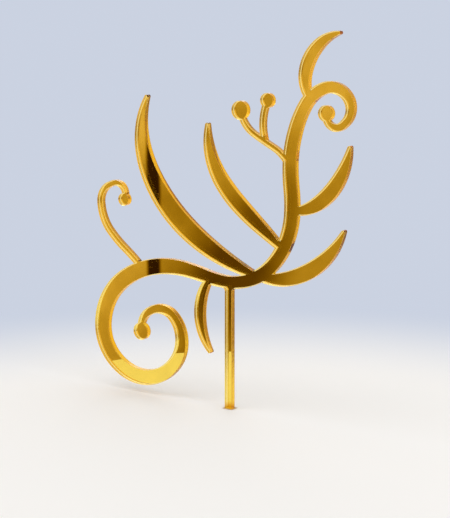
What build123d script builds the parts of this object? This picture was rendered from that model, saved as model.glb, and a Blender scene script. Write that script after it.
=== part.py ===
from build123d import *
import os

# A flat cake topper: a scrolling vine and its stick, laser-cut in one piece from gold mirror acrylic.
# The sheet stands in the XZ plane and faces -Y. The origin is on the stick's axis, at the level
# of the surface that the stick is pushed into. Millimetres.

# Layers of the sheet, from the front to the back
acrylic_thickness = 2.4
mirror_thickness = 0.05
backing_thickness = 0.15
edge_burn = 0.3  # the laser burns both coats back this far from its cut

# Stick
stick_width = 3.2
stick_reach = 51.0  # from the origin up to the middle of the vine's stem
stick_depth = 45.0  # from the origin down to the point
point_length = 9.0
point_width = 1.0
head_corner = 1.2  # radius of the inside corners where the stick meets the vine

# The vine is drawn on a grid of squares that is centred on the stick's head
grid = 10.0
arc_length = 11.0  # each edge of a stroke is a chain of arcs of about this length

# Pen widths of the vine's two arms, which set off from the stick's head
arm_root = 4.8
scroll_belly = 7.0
scroll_end = 2.4
stem_belly = 5.7
stem_end = 2.2

# Pen widths of the leaves, which share a root and a tip
leaf_root = 2.4
leaf_tip = 1.4
horn_leaf_belly = 9.2
inner_leaf_belly = 6.8
side_leaf_belly = 5.8
low_leaf_belly = 6.2
crown_leaf_belly = 5.0
drop_leaf_belly = 4.4

# Pen widths of the tendril and the berry stalks
tendril_root = 2.4
tendril_belly = 2.6
tendril_end = 2.0
stalk_width = 2.2

# Radii of the round ends of the curls and of the berries
scroll_eye = 3.6
stem_eye = 3.0
tendril_eye = 2.6
large_berry = 3.6
small_berry = 2.8


def on_grid(x, z):
    """A point of the drawing, counted in squares from the stick's head."""
    return Vector(grid * x, stick_reach + grid * z)


def pen_path(*points):
    """The smooth middle line of a pen stroke."""
    with BuildLine() as path:
        Spline(*points)
    return path.edge()


def pen_stroke(path, widths, inset, span=(0, 1), square_root=False):
    """The outline of a stroke along a span of its path, which swells to its belly and thins to its tip."""
    root, belly, tip = widths
    start, end = span
    pull = 2 * belly - (root + tip) / 2
    arcs = max(3, round(abs(end - start) * path.length / arc_length))
    left = []
    right = []
    for station in range(2 * arcs + 1):
        along = station / (2 * arcs)
        place = start + (end - start) * along
        width = root * (1 - along) ** 2 + 2 * pull * along * (1 - along) + tip * along**2
        across = (path % place).rotate(Axis.Z, 90) * (width / 2 - inset)
        left.append(path @ place + across)
        right.append(path @ place - across)
    forward = 1 if end > start else -1
    tip_end = path @ end + (path % end) * forward * (tip / 2 - inset)
    root_end = path @ start - (path % start) * forward * (root / 2 - inset)
    with BuildSketch() as stroke:
        with BuildLine():
            for side in (left, right):
                for arc in range(arcs):
                    ThreePointArc(side[2 * arc], side[2 * arc + 1], side[2 * arc + 2])
            ThreePointArc(left[-1], tip_end, right[-1])
            if square_root:
                Line(left[0], right[0])
            else:
                ThreePointArc(left[0], root_end, right[0])
        make_face()
    return stroke.sketch


# Points where the branches leave the spine
head = on_grid(0, 0)
tendril_fork = on_grid(-4.2, 0.1)
drop_fork = on_grid(-0.9, 0.09)
low_fork = on_grid(1.3, 0.35)
inner_fork = on_grid(2.4, 1.5)
side_fork = on_grid(2.8, 3.0)
stalk_fork = on_grid(2.7, 4.6)
crown_fork = on_grid(3.5, 7.2)

# The spine runs from the eye of the lower scroll, over the stick's head, to the eye of the upper curl
spine = pen_path(
    on_grid(-4.3, -2.5),
    on_grid(-4.0, -1.7),
    on_grid(-3.0, -1.5),
    on_grid(-2.3, -2.6),
    on_grid(-3.0, -4.0),
    on_grid(-4.7, -4.4),
    on_grid(-6.2, -3.2),
    on_grid(-6.0, -1.3),
    tendril_fork,
    on_grid(-2.0, 0.3),
    drop_fork,
    head,
    low_fork,
    inner_fork,
    side_fork,
    stalk_fork,
    on_grid(3.0, 6.3),
    crown_fork,
    on_grid(4.3, 7.65),
    on_grid(5.0, 7.4),
    on_grid(5.15, 6.6),
    on_grid(4.6, 6.2),
    on_grid(4.2, 6.7),
)
head_place = spine.param_at_point(head)

# Leaves
horn_leaf = pen_path(low_fork, on_grid(-1.0, 1.3), on_grid(-3.0, 2.9), on_grid(-4.1, 4.9), on_grid(-3.9, 7.1))
inner_leaf = pen_path(inner_fork, on_grid(1.0, 2.6), on_grid(-0.4, 4.0), on_grid(-1.0, 6.1))
side_leaf = pen_path(side_fork, on_grid(3.8, 3.3), on_grid(4.7, 4.2), on_grid(5.2, 5.5))
low_leaf = pen_path(low_fork, on_grid(2.6, 0.4), on_grid(4.0, 1.1), on_grid(5.0, 2.4))
crown_leaf = pen_path(crown_fork, on_grid(3.3, 8.1), on_grid(3.7, 9.0), on_grid(4.7, 9.6))
drop_leaf = pen_path(drop_fork, on_grid(-1.35, -0.9), on_grid(-1.35, -1.9), on_grid(-0.9, -2.9))
leaves = [
    (horn_leaf, horn_leaf_belly),
    (inner_leaf, inner_leaf_belly),
    (side_leaf, side_leaf_belly),
    (low_leaf, low_leaf_belly),
    (crown_leaf, crown_leaf_belly),
    (drop_leaf, drop_leaf_belly),
]

# Tendril, and two berry stalks that part at a fork of their own
tendril = pen_path(
    tendril_fork,
    on_grid(-5.2, 0.95),
    on_grid(-6.2, 2.1),
    on_grid(-6.1, 3.3),
    on_grid(-5.3, 3.5),
    on_grid(-5.1, 2.9),
)
berry_fork = on_grid(1.6, 5.55)
long_stalk = pen_path(stalk_fork, berry_fork, on_grid(1.0, 5.9), on_grid(0.5, 6.7))
short_stalk = pen_path(berry_fork, on_grid(1.5, 6.3), on_grid(1.7, 7.1))
discs = [
    (spine @ 0, scroll_eye),
    (spine @ 1, stem_eye),
    (tendril @ 1, tendril_eye),
    (long_stalk @ 1, large_berry),
    (short_stalk @ 1, small_berry),
]


def topper_outline(inset):
    """The whole topper's outline, drawn inset from the laser's cut."""
    strokes = [
        pen_stroke(spine, (arm_root, scroll_belly, scroll_end), inset, (head_place, 0), square_root=True),
        pen_stroke(spine, (arm_root, stem_belly, stem_end), inset, (head_place, 1), square_root=True),
        pen_stroke(tendril, (tendril_root, tendril_belly, tendril_end), inset),
        pen_stroke(long_stalk, (stalk_width, stalk_width, stalk_width), inset),
        pen_stroke(short_stalk, (stalk_width, stalk_width, stalk_width), inset),
    ]
    strokes += [pen_stroke(path, (leaf_root, belly, leaf_tip), inset) for path, belly in leaves]
    half_stick = stick_width / 2 - inset
    half_point = point_width / 2 - inset
    shoulder = point_length - stick_depth
    point = inset - stick_depth
    with BuildSketch() as outline:
        add(strokes)
        for place, radius in discs:
            with Locations(place):
                Circle(radius - inset)
        with BuildLine():
            Polyline(
                (half_stick, stick_reach),
                (half_stick, shoulder),
                (half_point, point),
                (-half_point, point),
                (-half_stick, shoulder),
                (-half_stick, stick_reach),
                close=True,
            )
        make_face()
        corner = head_corner + inset
        beside_stick = outline.vertices().filter_by_position(Axis.X, -half_stick - corner, half_stick + corner)
        fillet(beside_stick.filter_by_position(Axis.Y, 0, stick_reach), corner)
    return outline.sketch


os.makedirs("parts", exist_ok=True)

# Gold-tinted clear acrylic, the body of the topper
laminate_thickness = acrylic_thickness + mirror_thickness + backing_thickness
front_plane = Plane.XZ.offset(laminate_thickness / 2)
with BuildPart() as acrylic_sheet:
    with BuildSketch(front_plane):
        add(topper_outline(0))
    extrude(amount=-acrylic_thickness)
acrylic_sheet.part.label = "acrylic_sheet"
export_step(acrylic_sheet.part, "parts/acrylic_sheet.step")

# Metal film on the back of the acrylic
coat_outline = topper_outline(edge_burn)
mirror_plane = front_plane.offset(-acrylic_thickness)
with BuildPart() as mirror_coat:
    with BuildSketch(mirror_plane):
        add(coat_outline)
    extrude(amount=-mirror_thickness)
mirror_coat.part.label = "mirror_coat"
export_step(mirror_coat.part, "parts/mirror_coat.step")

# Protective lacquer over the film
backing_plane = mirror_plane.offset(-mirror_thickness)
with BuildPart() as backing_coat:
    with BuildSketch(backing_plane):
        add(coat_outline)
    extrude(amount=-backing_thickness)
backing_coat.part.label = "backing_coat"
export_step(backing_coat.part, "parts/backing_coat.step")
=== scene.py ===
import math

import bmesh
import bpy
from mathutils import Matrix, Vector


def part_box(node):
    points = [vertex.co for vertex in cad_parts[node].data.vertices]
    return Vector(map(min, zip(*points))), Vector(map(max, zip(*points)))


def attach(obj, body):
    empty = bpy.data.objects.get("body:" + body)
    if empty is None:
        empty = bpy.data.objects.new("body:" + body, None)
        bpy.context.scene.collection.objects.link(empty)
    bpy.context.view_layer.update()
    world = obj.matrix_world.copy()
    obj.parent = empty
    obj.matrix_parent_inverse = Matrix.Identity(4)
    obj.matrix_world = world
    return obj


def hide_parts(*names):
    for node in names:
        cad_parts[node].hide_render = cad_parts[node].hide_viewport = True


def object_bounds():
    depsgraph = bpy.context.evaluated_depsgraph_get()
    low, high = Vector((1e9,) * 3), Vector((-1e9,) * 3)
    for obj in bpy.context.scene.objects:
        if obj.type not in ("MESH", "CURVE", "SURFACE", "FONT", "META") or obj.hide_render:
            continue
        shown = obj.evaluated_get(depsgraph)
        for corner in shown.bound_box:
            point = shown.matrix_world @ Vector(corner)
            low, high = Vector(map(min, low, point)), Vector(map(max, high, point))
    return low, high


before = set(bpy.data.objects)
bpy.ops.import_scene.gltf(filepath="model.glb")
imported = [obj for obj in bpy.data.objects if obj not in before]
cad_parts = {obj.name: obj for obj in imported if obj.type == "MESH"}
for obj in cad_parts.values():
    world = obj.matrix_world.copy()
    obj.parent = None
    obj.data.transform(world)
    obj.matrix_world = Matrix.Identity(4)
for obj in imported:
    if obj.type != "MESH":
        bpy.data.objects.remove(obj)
cad_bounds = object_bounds()

# Acrylic sheet: the vine and its stick, laser-cut in one piece from clear acrylic that is dyed gold.
# The laser melts the rims a little round, leaves fine striations across the cut walls, and browns
# their back edge where it burns the coats. The sheet carries nothing but the coats on its back.
RIM_ROUND = 0.00010  # in metres, as every length here
RIM_SEGMENTS = 2
RIM_TURN = math.radians(80)  # an edge that turns further may be a rim
SMOOTH_TURN = math.radians(32)  # an edge that turns further is a corner of the cut
FLAT_TURN = math.radians(0.05)  # faces that turn less are one face
SAME_PLACE = 0.000001
SAME_DEPTH = 0.00002
COAT_GAP = 0.00002  # keeps the sheet's back and the metal film out of one plane
WALL_FACING = 0.01  # a cut wall faces the front or the back less than this
FLAT_FACING = 0.999  # and a flat face more than this

sheet_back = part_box("acrylic_sheet")[1].y
sheet_shape = bmesh.new()
sheet_shape.from_mesh(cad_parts["acrylic_sheet"].data)
bmesh.ops.remove_doubles(sheet_shape, verts=sheet_shape.verts, dist=SAME_PLACE)
bmesh.ops.dissolve_limit(
    sheet_shape, angle_limit=FLAT_TURN, verts=sheet_shape.verts, edges=sheet_shape.edges
)
for vertex in sheet_shape.verts:
    if vertex.co.y > sheet_back - COAT_GAP:
        vertex.co.y -= COAT_GAP

# Rims are the edges between the flat faces and the cut walls
rims = [edge for edge in sheet_shape.edges if edge.calc_face_angle(0) > RIM_TURN]
rims = [edge for edge in rims if abs(edge.verts[0].co.y - edge.verts[1].co.y) < SAME_DEPTH]
bmesh.ops.bevel(
    sheet_shape,
    geom=rims,
    offset=RIM_ROUND,
    affect="EDGES",
    segments=RIM_SEGMENTS,
    profile=0.5,
    material=-1,
)

# Rims and walls are shaded smooth, each by itself
for face in sheet_shape.faces:
    face.smooth = abs(face.normal.y) < FLAT_FACING
for edge in sheet_shape.edges:
    walls = [abs(face.normal.y) < WALL_FACING for face in edge.link_faces]
    edge.smooth = all(walls) == any(walls) and edge.calc_face_angle(0) < SMOOTH_TURN

sheet_mesh = bpy.data.meshes.new("gold_acrylic_sheet")
sheet_shape.to_mesh(sheet_mesh)
sheet_shape.free()
acrylic = bpy.data.objects.new("gold_acrylic_sheet", sheet_mesh)
bpy.context.scene.collection.objects.link(acrylic)


def shader_node(tree, kind, inputs=None, **settings):
    """A new node of a shader tree, with its settings, and its inputs set or linked."""
    made = tree.nodes.new(kind)
    for name, value in settings.items():
        setattr(made, name, value)
    for name, value in (inputs or {}).items():
        if isinstance(value, bpy.types.NodeSocket):
            tree.links.new(value, made.inputs[name])
        else:
            made.inputs[name].default_value = value
    return made


def axes_of(tree, vector):
    """The X, Y and Z of a vector in a shader tree."""
    return shader_node(tree, "ShaderNodeSeparateXYZ", {"Vector": vector}).outputs


def calculated(tree, operation, first, second=0.0):
    """The result of one sum in a shader tree."""
    return shader_node(tree, "ShaderNodeMath", {0: first, 1: second}, operation=operation).outputs[0]


def ranged(tree, value, low, high, at_low=0.0, at_high=1.0):
    """A value of a shader tree, eased from one range to another and held at its ends."""
    inputs = {"Value": value, "From Min": low, "From Max": high, "To Min": at_low, "To Max": at_high}
    made = shader_node(tree, "ShaderNodeMapRange", inputs, interpolation_type="SMOOTHSTEP")
    return made.outputs["Result"]


def blended(tree, share, first, second):
    """A colour of a shader tree that goes from the first to the second."""
    # The node's colour sockets are inputs 6 and 7 and output 2
    inputs = {"Factor": share, 6: first, 7: second}
    return shader_node(tree, "ShaderNodeMix", inputs, data_type="RGBA").outputs[2]


def noise(tree, place, scale, detail):
    """A cloudy value from 0 to 1 that changes with the place."""
    made = shader_node(tree, "ShaderNodeTexNoise", {"Vector": place, "Scale": scale, "Detail": detail})
    return made.outputs["Fac"]


def stretched(tree, place, stretch):
    """A place that draws a pattern out along the axes where the stretch is small."""
    return shader_node(tree, "ShaderNodeMapping", {"Vector": place, "Scale": stretch}).outputs["Vector"]


def uneven(tree, height, depth, **beneath):
    """The normal of a surface with a relief, over the normal beneath it if one is given."""
    inputs = {"Height": height, "Distance": depth, **beneath}
    return shader_node(tree, "ShaderNodeBump", inputs).outputs["Normal"]


def new_material(name):
    """A new material, its emptied shader tree, and the place on the piece."""
    material = bpy.data.materials.new(name)
    material.use_nodes = True
    tree = material.node_tree
    tree.nodes.clear()
    return material, tree, shader_node(tree, "ShaderNodeTexCoord").outputs["Object"]


def new_group(name, **outputs):
    """A new shader node group that works on a place, with that place and the group's output node."""
    group = bpy.data.node_groups.new(name, "ShaderNodeTree")
    group.interface.new_socket("Place", in_out="INPUT", socket_type="NodeSocketVector")
    for output, socket_type in outputs.items():
        group.interface.new_socket(output, in_out="OUTPUT", socket_type=socket_type)
    return group, group.nodes.new("NodeGroupInput").outputs["Place"], group.nodes.new("NodeGroupOutput")


def group_outputs(tree, group, place):
    """What a shader node group puts out at a place."""
    return shader_node(tree, "ShaderNodeGroup", {"Place": place}, node_tree=group).outputs


# Extruded sheet is never quite flat: long low waves run through both of its faces
WAVE_NOISE = (40.0, 1.0)  # scale and detail
sheet_waves, waves_place, waves_out = new_group("sheet_waves", Height="NodeSocketFloat")
sheet_waves.links.new(noise(sheet_waves, waves_place, *WAVE_NOISE), waves_out.inputs["Height"])

# Smudges left by handling, and dust specks
SMUDGE_NOISE = (90.0, 4.0)
SMUDGE_RANGE = (0.55, 0.75)
SPECK_NOISE = (1800.0, 1.0)
SPECK_RANGE = (0.74, 0.80)
handling_marks, marks_place, marks_out = new_group(
    "handling_marks", Smudge="NodeSocketFloat", Speck="NodeSocketFloat"
)
smudge = ranged(handling_marks, noise(handling_marks, marks_place, *SMUDGE_NOISE), *SMUDGE_RANGE)
speck = ranged(handling_marks, noise(handling_marks, marks_place, *SPECK_NOISE), *SPECK_RANGE)
handling_marks.links.new(smudge, marks_out.inputs["Smudge"])
handling_marks.links.new(speck, marks_out.inputs["Speck"])

# The finish differs on the flat faces and on the cut walls, which a mask from the normal tells apart
FLAT_MASK = 0.7
WALL_MASK = 0.3
GOLD_TINT = (1.0, 0.915, 0.84, 1)
SMUDGED_TINT = (0.97, 0.885, 0.81, 1)
WALL_TINT = (1.0, 0.68, 0.20, 1)
BROWNED_TINT = (0.30, 0.13, 0.015, 1)
BROWNED_DEPTH = 0.0006
SMUDGE_ROUGHNESS = 0.05
SPECK_ROUGHNESS = 0.2
WALL_ROUGHNESS = 0.10
FACE_WAVE_DEPTH = 0.000002
STRIATION_STRETCH = (1, 0.02, 1)
STRIATION_NOISE = (7000.0, 2.0)
STRIATION_DEPTH = 0.00004
ACRYLIC_INDEX = 1.49
GOLD_DYE = (0.9917, 0.935, 0.012, 1)
DYE_DENSITY = 355.0

gold_acrylic, tree, place = new_material("gold_dyed_acrylic")
normal = shader_node(tree, "ShaderNodeNewGeometry").outputs["Normal"]
facing = calculated(tree, "ABSOLUTE", axes_of(tree, normal)["Y"])
on_wall = ranged(tree, facing, FLAT_MASK, WALL_MASK)
marks = group_outputs(tree, handling_marks, place)

face_tint = blended(tree, marks["Smudge"], GOLD_TINT, SMUDGED_TINT)
browned = ranged(tree, axes_of(tree, place)["Y"], sheet_back - BROWNED_DEPTH, sheet_back)
wall_tint = blended(tree, browned, WALL_TINT, BROWNED_TINT)

smudge_roughness = calculated(tree, "MULTIPLY", marks["Smudge"], SMUDGE_ROUGHNESS)
speck_roughness = calculated(tree, "MULTIPLY", marks["Speck"], SPECK_ROUGHNESS)
face_roughness = calculated(tree, "ADD", smudge_roughness, speck_roughness)
wall_roughness = calculated(tree, "MULTIPLY", on_wall, WALL_ROUGHNESS)

wave_height = group_outputs(tree, sheet_waves, place)["Height"]
wavy_normal = uneven(tree, wave_height, FACE_WAVE_DEPTH)
striation = noise(tree, stretched(tree, place, STRIATION_STRETCH), *STRIATION_NOISE)
wall_striation = calculated(tree, "MULTIPLY", striation, on_wall)

surface = shader_node(
    tree,
    "ShaderNodeBsdfPrincipled",
    {
        "Base Color": blended(tree, on_wall, face_tint, wall_tint),
        "Roughness": calculated(tree, "MAXIMUM", wall_roughness, face_roughness),
        "IOR": ACRYLIC_INDEX,
        "Transmission Weight": 1.0,
        "Normal": uneven(tree, wall_striation, STRIATION_DEPTH, Normal=wavy_normal),
    },
)
dye = shader_node(tree, "ShaderNodeVolumeAbsorption", {"Color": GOLD_DYE, "Density": DYE_DENSITY})
shader_node(
    tree,
    "ShaderNodeOutputMaterial",
    {"Surface": surface.outputs["BSDF"], "Volume": dye.outputs["Volume"]},
)
acrylic.data.materials.append(gold_acrylic)
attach(acrylic, "root")
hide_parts("acrylic_sheet")

# Mirror coat: a metal film, vacuum-coated on the back of the acrylic, which makes the sheet a mirror.
# The laser burns it back a little from every cut, and the sheet's waves show in what it mirrors.
FILM_BRIGHT = (0.97, 0.94, 0.91, 1)
FILM_DULL = (0.93, 0.90, 0.87, 1)
FILM_NOISE = (160.0, 3.0)
FILM_RANGE = (0.35, 0.65)
FILM_WAVE_DEPTH = 0.000008

mirror_film, tree, place = new_material("bright_metal_film")
film_cloud = ranged(tree, noise(tree, place, *FILM_NOISE), *FILM_RANGE)
wave_height = group_outputs(tree, sheet_waves, place)["Height"]
surface = shader_node(
    tree,
    "ShaderNodeBsdfPrincipled",
    {
        "Base Color": blended(tree, film_cloud, FILM_BRIGHT, FILM_DULL),
        "Metallic": 1.0,
        "Roughness": 0.0,
        "Normal": uneven(tree, wave_height, FILM_WAVE_DEPTH),
    },
)
shader_node(tree, "ShaderNodeOutputMaterial", {"Surface": surface.outputs["BSDF"]})
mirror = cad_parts["mirror_coat"]
mirror.data.materials.clear()
mirror.data.materials.append(mirror_film)

# Backing coat: satin grey lacquer, rolled on over the metal film to guard it from scratches.
# It dries with a faint orange peel and the roller's streaks, and its edge is burnt back with the film's.
LACQUER_DARK = (0.39, 0.39, 0.38, 1)
LACQUER_LIGHT = (0.44, 0.435, 0.42, 1)
DUST = (0.60, 0.59, 0.57, 1)
ROLLER_STRETCH = (1, 1, 0.03)
ROLLER_NOISE = (420.0, 3.0)
ROLLER_RANGE = (0.3, 0.7)
LACQUER_ROUGHNESS = 0.48
HANDLED_ROUGHNESS = 0.36
PEEL_NOISE = (900.0, 2.0)
PEEL_DEPTH = 0.00002

grey_lacquer, tree, place = new_material("satin_grey_lacquer")
marks = group_outputs(tree, handling_marks, place)
streaks = ranged(tree, noise(tree, stretched(tree, place, ROLLER_STRETCH), *ROLLER_NOISE), *ROLLER_RANGE)
lacquer_colour = blended(tree, streaks, LACQUER_DARK, LACQUER_LIGHT)
surface = shader_node(
    tree,
    "ShaderNodeBsdfPrincipled",
    {
        "Base Color": blended(tree, marks["Speck"], lacquer_colour, DUST),
        "Roughness": ranged(tree, marks["Smudge"], 0.0, 1.0, LACQUER_ROUGHNESS, HANDLED_ROUGHNESS),
        "Normal": uneven(tree, noise(tree, place, *PEEL_NOISE), PEEL_DEPTH),
    },
)
shader_node(tree, "ShaderNodeOutputMaterial", {"Surface": surface.outputs["BSDF"]})
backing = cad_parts["backing_coat"]
backing.data.materials.clear()
backing.data.materials.append(grey_lacquer)

# Studio floor: the stick is pushed into it as far as the topper's origin. It is white round the stick and
# goes over into the backdrop, and the mirror shows a white patch of it. Round the stick both have an
# amber painted shade in their colour, and its amber is painted light as if it came through the dyed
# acrylic.
BACKDROP = (0.595, 0.645, 0.755, 1)
CAMERA_AZIMUTH = math.radians(33.0)
FLOOR_WHITE = (0.93, 0.92, 0.90, 1)
FLOOR_RADIUS = 8.0
FADE_SHIFT = 0.10  # the white part lies a little towards the camera
FADE_CENTRE = (FADE_SHIFT * math.sin(CAMERA_AZIMUTH), -FADE_SHIFT * math.cos(CAMERA_AZIMUTH), 0)
FADE_START = 0.15
FADE_END = 0.30
STICK_HALF = (0.0016, cad_bounds[1][1], 1.0)  # half of its width and thickness, at any height
FLOOR_SHADE = (0.50, 0.31, 0.11, 1)
FLOOR_SHADE_REACH = 0.0015
PATCH_WHITE = (1.0, 0.98, 1.0, 1)
PATCH_RADIUS = 0.092
PATCH_LIFT = 0.00001
PATCH_SHADE = (0.74, 0.40, 0.03, 1)
PATCH_SHADE_REACH = 0.009
DISC_SEGMENTS = 128


def vector_result(tree, operation, first, second=(0, 0, 0)):
    """The result of one sum with vectors in a shader tree."""
    made = shader_node(tree, "ShaderNodeVectorMath", {0: first, 1: second}, operation=operation)
    return made.outputs["Value" if operation in ("LENGTH", "DISTANCE") else "Vector"]


def floor_disc(name, radius, height, material):
    """A round flat floor, which isn't part of the object."""
    shape = bmesh.new()
    bmesh.ops.create_circle(shape, cap_ends=True, segments=DISC_SEGMENTS, radius=radius)
    bmesh.ops.translate(shape, verts=shape.verts, vec=(0, 0, height))
    mesh = bpy.data.meshes.new(name)
    shape.to_mesh(mesh)
    shape.free()
    mesh.materials.append(material)
    disc = bpy.data.objects.new(name, mesh)
    bpy.context.scene.collection.objects.link(disc)
    return disc


# How far a place on the floor lies from the stick
from_stick, stick_place, stick_out = new_group("from_stick", Distance="NodeSocketFloat")
beside = vector_result(from_stick, "ABSOLUTE", stick_place)
beside = vector_result(from_stick, "SUBTRACT", beside, STICK_HALF)
beside = vector_result(from_stick, "MAXIMUM", beside)
from_stick.links.new(vector_result(from_stick, "LENGTH", beside), stick_out.inputs["Distance"])

fading_floor, tree, place = new_material("fading_white_floor")
# Painted shade: the floor's colour goes darker and amber close to the stick
shade = ranged(tree, group_outputs(tree, from_stick, place)["Distance"], FLOOR_SHADE_REACH, 0.0)
white = shader_node(
    tree, "ShaderNodeBsdfDiffuse", {"Color": blended(tree, shade, FLOOR_WHITE, FLOOR_SHADE)}
)
pale = shader_node(tree, "ShaderNodeEmission", {"Color": BACKDROP})
fade = ranged(tree, vector_result(tree, "DISTANCE", place, FADE_CENTRE), FADE_START, FADE_END)
fading = shader_node(
    tree, "ShaderNodeMixShader", {0: fade, 1: white.outputs["BSDF"], 2: pale.outputs["Emission"]}
)
shader_node(tree, "ShaderNodeOutputMaterial", {"Surface": fading.outputs["Shader"]})
floor = floor_disc("floor", FLOOR_RADIUS, 0, fading_floor)  # for the camera, and not for the mirror
floor.visible_glossy = False
floor.visible_transmission = False

white_patch, tree, place = new_material("white_patch")
# Painted shade in the mirror: the patch's colour goes darker and amber close to the stick
shade = ranged(tree, group_outputs(tree, from_stick, place)["Distance"], PATCH_SHADE_REACH, 0.0)
surface = shader_node(
    tree, "ShaderNodeEmission", {"Color": blended(tree, shade, PATCH_WHITE, PATCH_SHADE)}
)
shader_node(tree, "ShaderNodeOutputMaterial", {"Surface": surface.outputs["Emission"]})
patch = floor_disc("mirrored_patch", PATCH_RADIUS, PATCH_LIFT, white_patch)  # for the mirror alone
patch.visible_camera = False
patch.visible_glossy = False
patch.visible_diffuse = False
patch.visible_shadow = False

# Studio room: the camera sees a pale backdrop all round. The mirror sees a warm room in front of it, with
# a dark corner, a dark post and less light on the camera's side. The cut walls also see a wall behind
# the topper, lit on its left. Headings and heights are in degrees, from the front and from level.
AMBIENT = (0.71, 0.71, 0.71, 1)
SIDE_HEADINGS = (-39.5, -35.0)
SIDE_LEVELS = (0.68, 0.41)
HIGH_HEIGHTS = (-8.0, 4.0)
HIGH_LEVEL = 0.6
LOW_HEIGHTS = (-15.0, -27.0)
LOW_LEVEL = 0.5
CORNER_PLACE = (-32.8, -10.6, 0)
CORNER_TURN = (0, 0, math.radians(-25.5))
CORNER_REACH = (2.8, 5.2, 1)
CORNER_EDGE = (0.25, 1.1)  # in shares of its reach
CORNER_LEVEL = 0.24
POST_HEADING = -36.4
POST_EDGE = (0.15, 0.45)
POST_FOOT = (-11.3, -11.7)
POST_LEVEL = 0.06
UNEVEN_NOISE = (22.0, 3.0)
UNEVEN_RANGE = (0.25, 0.75)
UNEVEN_LEVELS = (0.74, 1.20)
ROOM_GREEN = (1.2, 0.76)  # the room is warm, and its darker parts are browner: power and factor
ROOM_BLUE = (2.9, 0.50)
BACK_LIGHT = (1.0, 0.90, 0.78, 1)
BACK_SHADE = (0.40, 0.33, 0.24, 1)
BACK_SIDES = (-0.6, 0.6)  # along the direction's X
BACK_START = (-0.25, 0.1)  # along its Y

world = bpy.data.worlds.new("studio_room")
bpy.context.scene.world = world
world.use_nodes = True
tree = world.node_tree
tree.nodes.clear()
direction = shader_node(tree, "ShaderNodeTexCoord").outputs["Generated"]
axes = axes_of(tree, direction)
forward = calculated(tree, "MULTIPLY", axes["Y"], -1.0)
heading = calculated(tree, "DEGREES", calculated(tree, "ARCTAN2", axes["X"], forward))
height = calculated(tree, "DEGREES", calculated(tree, "ARCSINE", axes["Z"]))

side_light = ranged(tree, heading, *SIDE_HEADINGS, *SIDE_LEVELS)
high_light = ranged(tree, height, *HIGH_HEIGHTS, 0.0, HIGH_LEVEL)
low_light = ranged(tree, height, *LOW_HEIGHTS, 0.0, LOW_LEVEL)
lit_room = calculated(tree, "ADD", side_light, calculated(tree, "ADD", high_light, low_light))

angles = shader_node(tree, "ShaderNodeCombineXYZ", {"X": heading, "Y": height}).outputs["Vector"]
in_corner = shader_node(
    tree,
    "ShaderNodeMapping",
    {"Vector": angles, "Location": CORNER_PLACE, "Rotation": CORNER_TURN, "Scale": CORNER_REACH},
    vector_type="TEXTURE",
)
from_corner = vector_result(tree, "LENGTH", in_corner.outputs["Vector"])
corner_shade = ranged(tree, from_corner, *CORNER_EDGE, CORNER_LEVEL, 1.0)

from_post = calculated(tree, "ABSOLUTE", calculated(tree, "SUBTRACT", heading, POST_HEADING))
beside_post = ranged(tree, from_post, *POST_EDGE)
under_post = ranged(tree, height, *POST_FOOT)
off_post = calculated(tree, "MAXIMUM", beside_post, under_post)
post_shade = ranged(tree, off_post, 0.0, 1.0, POST_LEVEL, 1.0)

unevenness = ranged(tree, noise(tree, direction, *UNEVEN_NOISE), *UNEVEN_RANGE, *UNEVEN_LEVELS)
level = lit_room
for shade in (corner_shade, post_shade, unevenness):
    level = calculated(tree, "MULTIPLY", level, shade)
green, blue = [
    calculated(tree, "MULTIPLY", calculated(tree, "POWER", level, power), factor)
    for power, factor in (ROOM_GREEN, ROOM_BLUE)
]
room = shader_node(tree, "ShaderNodeCombineColor", {"Red": level, "Green": green, "Blue": blue})

back_wall = blended(tree, ranged(tree, axes["X"], *BACK_SIDES), BACK_LIGHT, BACK_SHADE)
behind = ranged(tree, axes["Y"], *BACK_START)
mirrored = blended(tree, behind, room.outputs["Color"], back_wall)
path = shader_node(tree, "ShaderNodeLightPath").outputs
lit = blended(tree, path["Is Diffuse Ray"], mirrored, AMBIENT)
seen = blended(tree, path["Is Camera Ray"], lit, BACKDROP)
background = shader_node(tree, "ShaderNodeBackground", {"Color": seen})
shader_node(tree, "ShaderNodeOutputWorld", {"Surface": background.outputs["Background"]})

# Studio lamps: square soft boxes above, to the right of and behind the topper.
# They are turned to its middle, and no camera sees them.
LAMP_TARGET = Vector((0, 0, 0.07))


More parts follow.
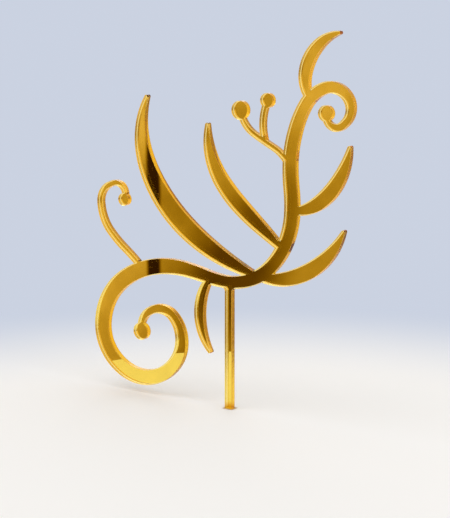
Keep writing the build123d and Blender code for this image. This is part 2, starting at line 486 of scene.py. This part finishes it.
def soft_box(name, place, side, radiance):
    """A square lamp that is turned to the topper."""
    lamp_data = bpy.data.lights.new(name, "AREA")
    lamp_data.shape = "SQUARE"
    lamp_data.size = side
    lamp_data.energy = radiance * math.pi * side**2
    lamp = bpy.data.objects.new(name, lamp_data)
    bpy.context.scene.collection.objects.link(lamp)
    lamp.location = place
    lamp.rotation_euler = (LAMP_TARGET - Vector(place)).to_track_quat("-Z", "Y").to_euler()
    lamp.visible_camera = False


soft_box("top_lamp", place=(-0.15, -0.25, 0.95), side=0.70, radiance=1.2)
soft_box("right_lamp", place=(0.85, -0.10, 0.55), side=0.50, radiance=2.0)
soft_box("back_lamp", place=(-0.55, 0.75, 0.60), side=0.50, radiance=1.2)

# Camera: it stands to the right of the topper's front, and looks a little down on it.
# It is turned so that the stick goes into the floor at one pixel of the image.
CAMERA_ELEVATION = math.radians(16.5)
CAMERA_DISTANCE = 0.520
CAMERA_FOCAL_PIXELS = 1300
IMAGE_SIZE = (450, 518)
STICK_PIXEL = (230, 408)
SENSOR_SIZE = 36.0

camera_data = bpy.data.cameras.new("camera")
camera_data.sensor_width = SENSOR_SIZE
camera_data.lens = SENSOR_SIZE * CAMERA_FOCAL_PIXELS / max(IMAGE_SIZE)
camera = bpy.data.objects.new("camera", camera_data)
bpy.context.scene.collection.objects.link(camera)
camera.location = CAMERA_DISTANCE * Vector(
    (
        math.sin(CAMERA_AZIMUTH) * math.cos(CAMERA_ELEVATION),
        -math.cos(CAMERA_AZIMUTH) * math.cos(CAMERA_ELEVATION),
        math.sin(CAMERA_ELEVATION),
    )
)
pan = math.atan((STICK_PIXEL[0] - IMAGE_SIZE[0] / 2) / CAMERA_FOCAL_PIXELS)
tilt = math.atan((STICK_PIXEL[1] - IMAGE_SIZE[1] / 2) / CAMERA_FOCAL_PIXELS)
camera.rotation_euler = (math.pi / 2 - CAMERA_ELEVATION + tilt, 0, CAMERA_AZIMUTH + pan)
bpy.context.scene.camera = camera

# Render: colours come out as they are written, and light is followed through enough bounces
# to leave the sheet by its cut walls.
LIGHT_BOUNCES = 32
MIRROR_BOUNCES = 16
scene = bpy.context.scene
scene.view_settings.view_transform = "Standard"
scene.cycles.max_bounces = LIGHT_BOUNCES
scene.cycles.glossy_bounces = MIRROR_BOUNCES
scene.cycles.transmission_bounces = LIGHT_BOUNCES
